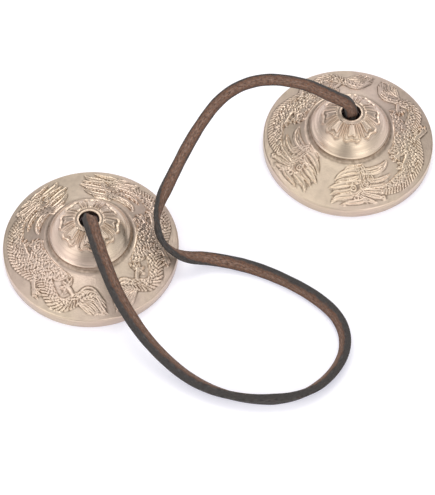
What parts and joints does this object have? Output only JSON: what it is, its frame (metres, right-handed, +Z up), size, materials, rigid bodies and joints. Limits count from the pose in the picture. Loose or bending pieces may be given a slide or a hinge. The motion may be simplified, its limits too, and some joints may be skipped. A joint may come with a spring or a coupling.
{
  "type": "tingsha cymbals",
  "caption": "Pair of small cast hand cymbals with an embossed flange, hung on the two ends of one knotted leather thong.",
  "frame": {"origin": "on the table, midway between the two cymbals' outer edges", "axes": "+X along the longer side of the box round the two cymbals, left to right, +Z up out of the table, parallel to the holes"},
  "size_m": [0.1604, 0.1453, 0.0332],
  "materials": {
    "bronze": "satin cast bronze, lathe-turned dome, embossed flange with darker recesses",
    "thong": "brown napped split leather, dark cut edges"
  },
  "bodies": {
    "strap": {"strap": "thong"},
    "left_knot": {"left_knot": "thong"},
    "left_cymbal": {"left_cymbal": "bronze"},
    "right_knot": {"right_knot": "thong"},
    "right_cymbal": {"right_cymbal": "bronze"}
  },
  "joints": [
    {"name": "left_tilt", "type": "hinge", "parent": "strap", "child": "left_knot", "pos_m": [-0.04774, -0.02546, 0.0207], "axis": [0.9848, -0.1736, 0], "range_deg": [0, 10]},
    {"name": "left_swivel", "type": "hinge", "parent": "left_knot", "child": "left_cymbal", "pos_m": [-0.04774, -0.02546, 0.0207], "axis": [0, 0, 1], "continuous": true},
    {"name": "right_tilt", "type": "hinge", "parent": "strap", "child": "right_knot", "pos_m": [0.04774, 0.02546, 0.0207], "axis": [0.342, 0.9397, 0], "range_deg": [-12, 12]},
    {"name": "right_swivel", "type": "hinge", "parent": "right_knot", "child": "right_cymbal", "pos_m": [0.04774, 0.02546, 0.0207], "axis": [0, 0, 1], "continuous": true}
  ]
}
